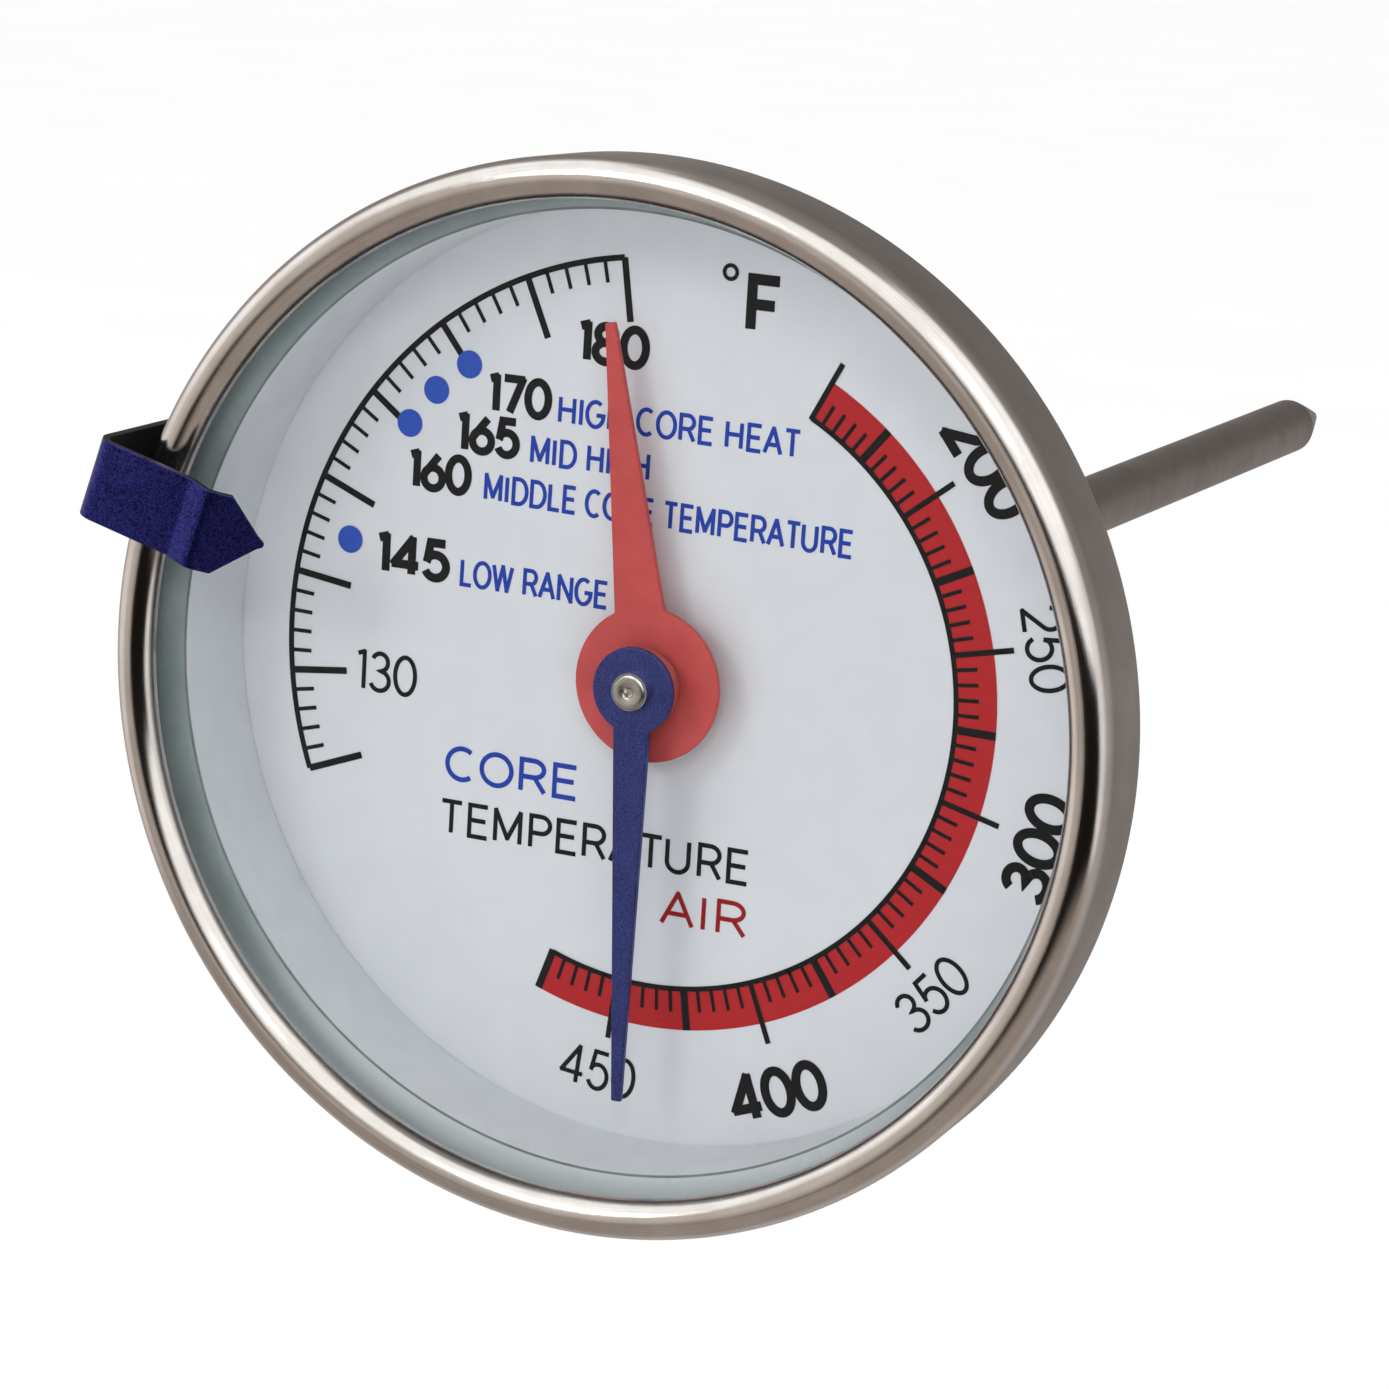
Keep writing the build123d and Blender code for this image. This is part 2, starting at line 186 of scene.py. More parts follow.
def lathe(name, profile, material, body, stands_for=(), segments=240, crease=35):
    """A turned piece: the closed profile of (radius, depth) points goes once round the axis."""
    verts, faces, ring_of = [], [], []
    for radius, depth in profile:
        if radius < 1e-6:
            ring_of.append([len(verts)] * segments)
            verts.append((0.0, depth + RIM_Y, 0.0))
            continue
        ring_of.append(list(range(len(verts), len(verts) + segments)))
        for k in range(segments):
            turn = 2 * pi * k / segments
            verts.append((radius * sin(turn), depth + RIM_Y, radius * cos(turn)))
    count = len(profile)
    for i in range(count):
        one, two = ring_of[i], ring_of[(i + 1) % count]
        if one[0] == one[1] and two[0] == two[1]:
            continue
        for k in range(segments):
            j = (k + 1) % segments
            corners = [one[k], one[j], two[j], two[k]]
            faces.append([v for n, v in enumerate(corners) if v not in corners[:n]])
    piece = add_piece(name, verts, faces, [material], body, stands_for, crease)
    face_out(piece)
    return piece


def face_out(piece):
    """Turns every face of a closed mesh outwards."""
    work = bmesh.new()
    work.from_mesh(piece.data)
    bmesh.ops.recalc_face_normals(work, faces=work.faces)
    work.to_mesh(piece.data)
    work.free()


def plate(name, outline, front, clock, material, body, stands_for):
    """A flat sheet piece: an outline in (across, along) mm, turned to its clock angle."""
    turn = radians(clock)
    verts = []
    for depth in (front, front + PLATE):
        for u, v in outline:
            verts.append((u * cos(turn) + v * sin(turn), depth + RIM_Y, v * cos(turn) - u * sin(turn)))
    count = len(outline)
    faces = [list(range(count)), list(range(2 * count - 1, count - 1, -1))]
    for i in range(count):
        j = (i + 1) % count
        faces.append([i, i + count, j + count, j])
    piece = add_piece(name, verts, faces, [material], body, stands_for)
    face_out(piece)
    return soften(piece, 0.09)


# ---- node helpers ----
class Nodes:
    """Short calls for building the nodes of one material, or of the world."""

    def __init__(self, name, world=False):
        self.material = bpy.data.worlds.new(name) if world else bpy.data.materials.new(name)
        self.material.use_nodes = True
        self.tree = self.material.node_tree
        self.shader = self.tree.nodes["Background" if world else "Principled BSDF"]

    def add(self, kind, **values):
        node = self.tree.nodes.new(kind)
        for key, value in values.items():
            setattr(node, key, value)
        return node

    def link(self, source, target):
        self.tree.links.new(source, target)

    def math(self, operation, a, b=None):
        node = self.add("ShaderNodeMath", operation=operation)
        for socket, value in zip(node.inputs, (a, b)):
            if value is None:
                continue
            if isinstance(value, (int, float)):
                socket.default_value = value
            else:
                self.link(value, socket)
        return node.outputs[0]

    def place(self):
        """Object coordinates in mm."""
        coords = self.add("ShaderNodeTexCoord")
        mapping = self.add("ShaderNodeMapping")
        mapping.inputs["Scale"].default_value = [1 / MM] * 3
        self.link(coords.outputs["Object"], mapping.inputs["Vector"])
        return mapping.outputs["Vector"]

    def polar(self, around, outward, along):
        """Coordinates that follow a turned surface: turns, radius in mm and depth in mm, each stretched."""
        parts = self.add("ShaderNodeSeparateXYZ")
        self.link(self.place(), parts.inputs[0])
        x, y, z = parts.outputs
        radius = self.math("SQRT", self.math("ADD", self.math("MULTIPLY", x, x), self.math("MULTIPLY", z, z)))
        angle = self.math("ARCTAN2", x, z)
        joined = self.add("ShaderNodeCombineXYZ")
        self.link(self.math("MULTIPLY", angle, around), joined.inputs[0])
        self.link(self.math("MULTIPLY", radius, outward), joined.inputs[1])
        self.link(self.math("MULTIPLY", y, along), joined.inputs[2])
        return joined.outputs[0]

    def noise(self, vector, scale, detail=2.0, rough=0.5):
        node = self.add("ShaderNodeTexNoise")
        node.inputs["Scale"].default_value = scale
        node.inputs["Detail"].default_value = detail
        node.inputs["Roughness"].default_value = rough
        self.link(vector, node.inputs["Vector"])
        return node.outputs["Fac"]

    def ramp(self, value, low, high, start=0.3, end=0.7):
        """Spreads a value over two colours, or two plain numbers."""
        if isinstance(low, (int, float)):
            node = self.add("ShaderNodeMapRange")
            node.inputs["From Min"].default_value = start
            node.inputs["From Max"].default_value = end
            node.inputs["To Min"].default_value = low
            node.inputs["To Max"].default_value = high
            self.link(value, node.inputs["Value"])
            return node.outputs["Result"]
        node = self.add("ShaderNodeValToRGB")
        node.color_ramp.elements[0].position = start
        node.color_ramp.elements[1].position = end
        node.color_ramp.elements[0].color = (*low, 1)
        node.color_ramp.elements[1].color = (*high, 1)
        self.link(value, node.inputs["Fac"])
        return node.outputs["Color"]

    def smooth(self, value, start, end):
        """A soft step from 0 to 1 between two values."""
        node = self.add("ShaderNodeMapRange", interpolation_type="SMOOTHSTEP")
        node.inputs["From Min"].default_value = start
        node.inputs["From Max"].default_value = end
        self.link(value, node.inputs["Value"])
        return node.outputs["Result"]

    def blend(self, share, first, second):
        """Mixes two colours, each a plain colour or another node's output."""
        node = self.add("ShaderNodeMix", data_type="RGBA")
        self.link(share, node.inputs["Factor"])
        for socket, colour in zip([s for s in node.inputs if s.type == "RGBA"], (first, second)):
            if isinstance(colour, tuple):
                socket.default_value = (*colour, 1)
            else:
                self.link(colour, socket)
        return [o for o in node.outputs if o.type == "RGBA"][0]

    def bump(self, height, strength, depth):
        """Bump of a depth in mm."""
        node = self.add("ShaderNodeBump")
        node.inputs["Strength"].default_value = strength
        node.inputs["Distance"].default_value = depth * MM
        self.link(height, node.inputs["Height"])
        self.link(node.outputs["Normal"], self.shader.inputs["Normal"])

    def set(self, **values):
        for key, value in values.items():
            self.shader.inputs[key.replace("_", " ")].default_value = value


def turned_metal(name, dark, light, rough, brush):
    """Metal with fine lines round the axis, small smudges and slight colour change."""
    n = Nodes(name)
    n.set(Metallic=1.0)
    lines = n.noise(n.polar(1.6, 14.0, 14.0), 1.0, 3.0, 0.7)
    smudge = n.noise(n.place(), 0.35, 4.0, 0.6)
    tone = n.math("ADD", n.math("MULTIPLY", lines, 0.55), n.math("MULTIPLY", smudge, 0.45))
    n.link(n.ramp(tone, dark, light, 0.35, 0.65), n.shader.inputs["Base Color"])
    n.link(n.ramp(tone, rough * 1.15, rough * 0.85), n.shader.inputs["Roughness"])
    n.bump(lines, brush, 0.02)
    return n.material


def lip_and_skirt_metal(name):
    """The bezel's steel: a polished lip that turns satin down the skirt, where its darker colour is painted
    shade.
    """
    n = Nodes(name)
    n.set(Metallic=1.0)
    parts = n.add("ShaderNodeSeparateXYZ")
    n.link(n.place(), parts.inputs[0])
    skirt = n.smooth(parts.outputs[1], RIM_Y - 0.75, RIM_Y + 0.5)
    lines = n.noise(n.polar(2.2, 16.0, 16.0), 1.0, 4.0, 0.75)
    pits = n.noise(n.polar(30.0, 5.0, 5.0), 1.0, 3.0, 0.6)
    smudge = n.noise(n.place(), 0.3, 4.0, 0.6)
    tone = n.math("ADD", n.math("MULTIPLY", lines, 0.5), n.math("MULTIPLY", smudge, 0.5))
    polished = n.ramp(tone, (0.60, 0.57, 0.55), (0.76, 0.735, 0.715), 0.35, 0.65)
    # the skirt's far darker colour is painted shade, standing in for the darker reflection down the skirt
    satin_and_painted_shade = n.ramp(tone, (0.27, 0.25, 0.238), (0.36, 0.338, 0.322), 0.35, 0.65)
    n.link(n.blend(skirt, polished, satin_and_painted_shade), n.shader.inputs["Base Color"])
    rough = n.math("ADD", n.math("MULTIPLY", skirt, 0.16), n.ramp(tone, 0.15, 0.10))
    n.link(rough, n.shader.inputs["Roughness"])
    # turned metal blurs across its lines, not along them
    around = n.add("ShaderNodeTangent", direction_type="RADIAL", axis="Y")
    n.link(around.outputs[0], n.shader.inputs["Tangent"])
    n.set(Anisotropic=0.85, Anisotropic_Rotation=0.25)
    n.bump(n.math("ADD", lines, n.math("MULTIPLY", pits, 0.6)), 0.22, 0.02)
    return n.material


def paint(name, dark, light, rough, grain=0.15, coat=0.0, metallic=0.0, flake=0.0):
    """Paint with an even colour, slight unevenness and, for a metallic paint, small bright flakes."""
    n = Nodes(name)
    n.set(Metallic=metallic, Coat_Weight=coat, Coat_Roughness=0.12)
    cloud = n.noise(n.place(), 0.5, 3.0, 0.55)
    speck = n.noise(n.place(), 9.0, 2.0, 0.6)
    share = n.math("ADD", n.math("MULTIPLY", cloud, 1 - flake), n.math("MULTIPLY", speck, flake))
    n.link(n.ramp(share, dark, light, 0.36, 0.64), n.shader.inputs["Base Color"])
    n.link(n.ramp(cloud, rough * 1.12, rough * 0.9), n.shader.inputs["Roughness"])
    n.bump(speck, grain, 0.015)
    return n.material


def print_ink(name, dark, light):
    """Screen-printed ink: matt, very slightly uneven."""
    n = Nodes(name)
    n.set(Specular_IOR_Level=0.2)
    mottle = n.noise(n.place(), 5.0, 3.0, 0.6)
    n.link(n.ramp(mottle, dark, light), n.shader.inputs["Base Color"])
    n.link(n.ramp(mottle, 0.5, 0.38), n.shader.inputs["Roughness"])
    n.bump(mottle, 0.1, 0.01)
    return n.material


def edge_of_glass(name):
    """The pane's ground edge: green-grey, with painted light making it pale low down where it faces the
    light.
    """
    n = Nodes(name)
    parts = n.add("ShaderNodeSeparateXYZ")
    n.link(n.place(), parts.inputs[0])
    cloud = n.noise(n.place(), 0.35, 3.0, 0.55)
    tint = n.ramp(cloud, (0.33, 0.39, 0.39), (0.41, 0.47, 0.465))
    # painted light: the edge's colour turns pale towards the bottom
    low = n.smooth(parts.outputs[2], -14.0, -25.0)
    n.link(n.blend(low, tint, (0.74, 0.79, 0.80)), n.shader.inputs["Base Color"])
    n.link(n.ramp(cloud, 0.35, 0.25), n.shader.inputs["Roughness"])
    n.bump(cloud, 0.1, 0.02)
    return n.material


def clear_glass(name):
    """A clear pane: light passes straight through, and the surface keeps its gloss."""
    n = Nodes(name)
    clear = n.add("ShaderNodeBsdfTransparent")
    clear.inputs["Color"].default_value = (0.955, 0.965, 0.972, 1)
    gloss = n.add("ShaderNodeBsdfGlossy")
    smear = n.noise(n.place(), 0.22, 4.0, 0.65)
    n.link(n.ramp(smear, 0.02, 0.06), gloss.inputs["Roughness"])
    edge = n.add("ShaderNodeFresnel")
    edge.inputs["IOR"].default_value = 1.2
    blend = n.add("ShaderNodeMixShader")
    n.link(edge.outputs[0], blend.inputs[0])
    n.link(clear.outputs[0], blend.inputs[1])
    n.link(gloss.outputs[0], blend.inputs[2])
    n.link(blend.outputs[0], n.tree.nodes["Material Output"].inputs["Surface"])
    return n.material


STEEL = lip_and_skirt_metal("polished_steel")
SATIN = turned_metal("case_steel", (0.36, 0.34, 0.32), (0.52, 0.50, 0.48), 0.34, 0.2)
STEM = turned_metal("stem_steel", (0.195, 0.175, 0.168), (0.285, 0.26, 0.25), 0.36, 0.2)
TURNED = turned_metal("turned_steel", (0.62, 0.59, 0.55), (0.80, 0.77, 0.73), 0.24, 0.3)
BRASS = turned_metal("bridge_brass", (0.50, 0.36, 0.16), (0.66, 0.50, 0.26), 0.3, 0.3)
BIMETAL = turned_metal("bimetal", (0.42, 0.34, 0.22), (0.56, 0.48, 0.34), 0.35, 0.3)
DIAL = paint("dial_white", (0.79, 0.795, 0.81), (0.815, 0.82, 0.835), 0.42, 0.12)
# a shade lighter than the dial's white: painted light that makes up for the shade on the wall inside the rim
WALL_PAINTED_LIGHT = paint("white_wall", (0.84, 0.865, 0.88), (0.88, 0.905, 0.92), 0.38, 0.12)
SEAL = paint("seal_rubber", (0.20, 0.24, 0.22), (0.27, 0.31, 0.29), 0.55, 0.3)
EDGE = edge_of_glass("pane_edge_green")
# a thin dark ring: painted shadow in the gap between the pane's edge and the wall
GAP_PAINTED_SHADOW = paint("pane_gap_painted_shadow", (0.21, 0.235, 0.235), (0.28, 0.305, 0.305), 0.5, 0.1)
RED = paint("red_paint", (0.60, 0.06, 0.055), (0.66, 0.075, 0.07), 0.5, 0.12)
BLUE = paint("blue_paint", (0.018, 0.026, 0.14), (0.055, 0.07, 0.30), 0.36, 0.3, metallic=0.45, flake=0.8)
MARKER = paint(
    "marker_blue", (0.003, 0.003, 0.034), (0.045, 0.05, 0.36), 0.28, 0.3, 0.1, metallic=0.95, flake=0.88
)
# near black: painted shade on the strip's inner side and edges
INSIDE_PAINTED_SHADE = paint("marker_inside_painted_shade", (0.006, 0.006, 0.007), (0.012, 0.012, 0.013), 0.5, 0.2)
INK_BLACK = print_ink("print_black", (0.005, 0.005, 0.006), (0.011, 0.011, 0.013))
INK_RED = print_ink("print_red", (0.48, 0.012, 0.016), (0.56, 0.020, 0.024))
INK_BLUE = print_ink("print_blue", (0.025, 0.085, 0.46), (0.035, 0.105, 0.56))
INK_DEEP_BLUE = print_ink("print_deep_blue", (0.010, 0.045, 0.36), (0.016, 0.06, 0.46))
INK_DEEP_RED = print_ink("print_deep_red", (0.32, 0.003, 0.005), (0.40, 0.006, 0.009))
GLASS = clear_glass("lens_glass")


# ---- turned pieces of the head ----
def make_bezel():
    """Half-round polished lip, straight skirt and a rear edge rolled in behind the case's flange."""
    back_r = HEAD_R - SKIRT_TAPER
    crest_r = HEAD_R - LIP_R
    outside = arc(crest_r, 0, LIP_R, LIP_R, 0, -180, 7.5)
    inside = arc(crest_r, 0, LIP_R - SHEET, LIP_R - SHEET, -180, -360, 15)
    rear = rounded(
        [
            (HEAD_R - SHEET, 0.0),
            (back_r - SHEET, SKIRT_BACK - SHEET),
            (ROLL_R, SKIRT_BACK - SHEET),
            (ROLL_R, SKIRT_BACK),
            (back_r, SKIRT_BACK),
            (HEAD_R, 0.3),
        ],
        0.42,
    )
    profile = outside + inside + rear[1:]
    return lathe("bezel_ring", profile, STEEL, "head", ["bezel"], 360, 50)


def make_glass():
    rim = rounded([(LENS_R, LENS_FRONT), (LENS_R, LENS_BACK)], 0.2)
    profile = [(0, LENS_FRONT), *rim, (0, LENS_BACK)]
    return lathe("lens_pane", profile, GLASS, "head", ["lens"])


def make_seal():
    outer = LENS_R + SEAL_WALL
    inner = LENS_R - SEAL_COVER
    gap = 0.02
    profile = [
        (inner, gap),
        (outer, gap),
        (outer, LENS_BACK),
        (LENS_R + gap, LENS_BACK),
        (LENS_R + gap, LENS_FRONT - gap),
        (inner, LENS_FRONT - gap),
    ]
    return lathe("seal_ring", profile, SEAL, "head", ["lens_seal"])


def make_glass_edge():
    """The green-grey edge that the thick pane shows inside the lip, and beside it a thin dark ring of painted
    shadow in the gap at the wall.
    """
    depth = LENS_BACK + 0.01
    for name, inner, outer, thick, material in (
        ("pane_edge", WALL_R + 0.16, LENS_R, 0.05, EDGE),
        ("pane_joint", WALL_R + 0.02, WALL_R + 0.17, 0.03, GAP_PAINTED_SHADOW),
    ):
        front = depth - thick
        lathe(name, [(inner, front), (outer, front), (outer, depth), (inner, depth)], material, "head")


def make_wall():
    """The light wall between glass and dial, with a rounded front shoulder under the glass."""
    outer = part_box("spacer_ring")[1].x / MM
    front = LENS_BACK + 0.02
    skirt_end = front + SHOULDER
    profile = rounded(
        [
            (WALL_R, DIAL_FRONT),
            (WALL_R, front),
            (outer, front),
            (outer, skirt_end),
            (outer - WALL_SHEET, skirt_end),
            (outer - WALL_SHEET, front + WALL_SHEET),
            (WALL_R + WALL_SHEET, front + WALL_SHEET),
            (WALL_R + WALL_SHEET, DIAL_FRONT),
        ],
        0.25,
        closed=True,
        steps=4,
    )
    return lathe("wall_ring", profile, WALL_PAINTED_LIGHT, "head", ["spacer_ring"])


def make_dial():
    back = DIAL_FRONT + SHEET
    profile = [(DIAL_HOLE_R, DIAL_FRONT), (DIAL_R, DIAL_FRONT), (DIAL_R, back), (DIAL_HOLE_R, back)]
    return lathe("dial_disc", profile, DIAL, "head", ["dial_plate"])


def make_stem():
    """Plain tube with a blunt, slightly rounded cone at its end."""
    tube_end = TIP_START - 0.02
    tube = rounded([(STEM_R, FERRULE_END), (STEM_R, tube_end)], 0.1)
    pipe = [(0, FERRULE_END), *tube, (0, tube_end)]
    lathe("stem_pipe", pipe, STEM, "head", ["stem_tube"], 96)
    nose_length = 0.3
    cone_length = TIP_Y - TIP_START - nose_length
    rings = 12
    cone = []
    for i in range(rings + 1):
        along = i / rings
        radius = STEM_R * (1 - 0.72 * along - 0.06 * along * along)
        cone.append((radius, TIP_START + along * cone_length))
    end_r = cone[-1][0]
    nose_start = TIP_Y - nose_length
    nose = [(end_r * cos(radians(a)), nose_start + nose_length * sin(radians(a))) for a in (22, 45, 68)]
    profile = [(0, TIP_START), *cone, *nose, (0, TIP_Y)]
    return lathe("stem_point", profile, STEM, "head", ["stem_tip"], 96)


def make_hub():
    """Hub of the meat pointer: a plain collar behind it and a riveted neck with a dimple in front."""
    front = front_of("meat_hub") - RIM_Y
    back = back_of("meat_hub") - RIM_Y
    collar = MEAT_FRONT + PLATE
    hollow = [(0, front + 0.34), (0.12, front + 0.32), (0.22, front + 0.14), (0.28, front + 0.03)]
    neck_r = 1.1
    collar_r = 2.2
    neck = rounded([(0.34, front), (neck_r, front), (neck_r, collar)], 0.28)
    base = rounded([(neck_r, collar), (collar_r, collar), (collar_r, back)], 0.12)
    profile = [*hollow, *neck, *base[1:], (0, back)]
    return lathe("pointer_hub", profile, TURNED, "meat_hand", ["meat_hub"], 120)


def pointer_outline(disc_r, width, length, tip):
    """A round hub and a tapered blade, as one outline."""
    start = sqrt(disc_r ** 2 - (width / 2) ** 2)
    side = degrees(atan2(start, width / 2))
    round_part = arc(0, 0, disc_r, disc_r, 180 - side, 360 + side, 5)
    nose = rounded([(width / 2, 0), (tip / 2, length), (-tip / 2, length), (-width / 2, 0)], 0.1)[1:-1]
    return [*round_part, *nose]


make_bezel()
make_glass()
make_seal()
make_glass_edge()
make_wall()
make_dial()
make_stem()
make_hub()
oven_blade = pointer_outline(disc_r=4.4, width=3.05, length=20.3, tip=0.6)
meat_blade = pointer_outline(disc_r=2.45, width=2.2, length=23.7, tip=0.6)
plate("oven_hand_plate", oven_blade, OVEN_FRONT, OVEN_REST, RED, "oven_hand", ["oven_pointer"])
plate("meat_hand_plate", meat_blade, MEAT_FRONT, MEAT_REST, BLUE, "meat_hand", ["meat_pointer"])


# ---- target marker: one bent strip with an arrow end ----
def make_marker():
    """The strip hooks behind the skirt, crosses the lip and ends in an arrow over the glass."""
    path = rounded(
        [
            (HEAD_R - MARKER_HOOK, MARKER_BACK),
            (MARKER_OUT_R, MARKER_BACK),
            (MARKER_OUT_R, MARKER_FRONT),
            MARKER_CREASE,
            MARKER_RIDGE,
            MARKER_TIP,
        ],
        MARKER_BEND,
        steps=6,
    )
    shoulder = MARKER_SHOULDER_R
    stations = path[:-1]
    last = path[-1]
    ridge = path[-2]
    for radius in (shoulder, *ARROW_STATIONS):
        share = (ridge[0] - radius) / (ridge[0] - last[0])
        stations.append((radius, ridge[1] + (last[1] - ridge[1]) * share))
    stations.append(last)
    half = MARKER_WIDTH / 2
    turn = radians(MARKER_ANGLE)
    outward = Vector((sin(turn), 0, cos(turn)))
    across = Vector((cos(turn), 0, -sin(turn)))
    verts, faces, slots = [], [], []
    for i, (radius, depth) in enumerate(stations):
        before = Vector(stations[max(i - 1, 0)])
        after = Vector(stations[min(i + 1, len(stations) - 1)])
        run = (after - before).normalized()
        normal = Vector((run.y, -run.x))
        width = half
        if i > len(path) - 2 and radius < shoulder:
            width = max(0.12, half * (radius - last[0]) / (shoulder - last[0]))
        for side in (1, -1):
            face = Vector((radius, depth)) - normal * side * PLATE / 2
            for way in (-1, 1):
                point = outward * face.x + across * width * way
                verts.append((point.x, face.y + RIM_Y, point.z))
    count = len(stations)
    for i in range(count - 1):
        a, b = 4 * i, 4 * (i + 1)
        faces.append([a, a + 1, b + 1, b])
        slots.append(0)
        faces.append([a + 3, a + 2, b + 2, b + 3])
        slots.append(1)
        faces.append([a + 1, a + 3, b + 3, b + 1])
        slots.append(1)
        faces.append([a + 2, a, b, b + 2])
        slots.append(1)
    end = 4 * (count - 1)
    faces += [[0, 2, 3, 1], [end + 1, end + 3, end + 2, end]]
    slots += [1, 1]
    # the front face takes the blue; the inner side, edges and ends take the near-black painted shade
    piece = add_piece(
        "marker_clip", verts, faces, [MARKER, INSIDE_PAINTED_SHADE], "marker", ["target_marker"], 40, slots
    )
    face_out(piece)
    return soften(piece, 0.07)


make_marker()


# ---- printed dial ----
DIAL_MEAT = 23.7  # radius of the meat scale's line
BAND_IN = 17.8
BAND_OUT = 20.2
BAND_LONG = 21.4
LIFT = 0.02  # each layer of ink stands this far in front of the last, in mm


def meat_angle(degrees_f):
    """Clock angle of a temperature on the meat scale, which runs from 120 to 190."""
    tens = (190 - degrees_f) / 10
    return -9.0 - 15.05 * tens + 0.066 * tens * tens


def oven_angle(degrees_f):
    """Clock angle of a temperature on the oven scale, which runs from 150 to 475."""
    steps = (degrees_f - 150) / 25
    return 27.15 + 13.62 * steps - 5.2 * (1 - exp(-steps / 2.35))


def at_clock(radius, clock):
    return radius * sin(radians(clock)), radius * cos(radians(clock))


def sharp_runs(points, reach):
    """Splits a pen line at its sharp corners, each piece running on past the corner by reach."""
    runs, run = [], [Vector(points[0])]
    for i in range(1, len(points) - 1):
        here = Vector(points[i])
        before = here - Vector(points[i - 1])
        after = Vector(points[i + 1]) - here
        if min(before.length, after.length) > 1e-4 and before.angle(after) > radians(100):
            runs.append([*run, here + before.normalized() * reach])
            run = [here - after.normalized() * reach]
        else:
            run.append(here)
    runs.append([*run, Vector(points[-1])])
    return runs


def ribbon(points, width, closed=False):
    """Flat faces along a line of points, with mitred corners."""
    clean = [Vector(points[0])]
    for p in points[1:]:
        if (Vector(p) - clean[-1]).length > 1e-4:
            clean.append(Vector(p))
    if closed and (clean[0] - clean[-1]).length < 1e-3:
        clean.pop()
    count = len(clean)
    left, right = [], []
    for i, here in enumerate(clean):
        last = clean[i - 1] if closed or i > 0 else None
        after = clean[(i + 1) % count] if closed or i < count - 1 else None
        runs = []
        if last is not None:
            runs.append((here - last).normalized())
        if after is not None:
            runs.append((after - here).normalized())
        along = sum(runs, Vector((0, 0))).normalized()
        normal = Vector((-along.y, along.x))
        stretch = min(1 / max(abs(normal.dot(Vector((-runs[0].y, runs[0].x)))), 0.35), 2.2)
        left.append(here + normal * width / 2 * stretch)
        right.append(here - normal * width / 2 * stretch)
    spans = range(count) if closed else range(count - 1)
    return [[right[i], right[(i + 1) % count], left[(i + 1) % count], left[i]] for i in spans]


def tick(clock, start, end, width):
    """One straight mark along a radius."""
    return ribbon([at_clock(start, clock), at_clock(end, clock)], width)


def sector(start_clock, end_clock, inner, outer):
    """A curved band of the dial between two clock angles."""
    step = 1.5
    count = ceil((end_clock - start_clock) / step)
    clocks = [start_clock + (end_clock - start_clock) * i / count for i in range(count + 1)]
    return [
        [at_clock(inner, a), at_clock(inner, b), at_clock(outer, b), at_clock(outer, a)]
        for a, b in zip(clocks, clocks[1:])
    ]


def disc(centre, radius):
    return [arc(centre[0], centre[1], radius, radius, 0, 360, 12)[:-1]]


def print_piece(name, faces, ink, layer):
    """Ink on the dial: flat faces in (x, z) mm, all turned to the viewer."""
    verts, polygons = [], []
    for number, face in enumerate(faces):
        # a hair's difference in depth, so that strokes that cross never lie in the same plane
        depth = DIAL_FRONT - LIFT * (layer + number % 40 / 80) + RIM_Y
        area = sum(a[0] * b[1] - b[0] * a[1] for a, b in zip(face, [*face[1:], face[0]]))
        ordered = face if area > 0 else face[::-1]
        polygons.append(list(range(len(verts), len(verts) + len(ordered))))
        verts += [(p[0], depth, p[1]) for p in ordered]
    return add_piece(name, verts, polygons, [ink], "head")


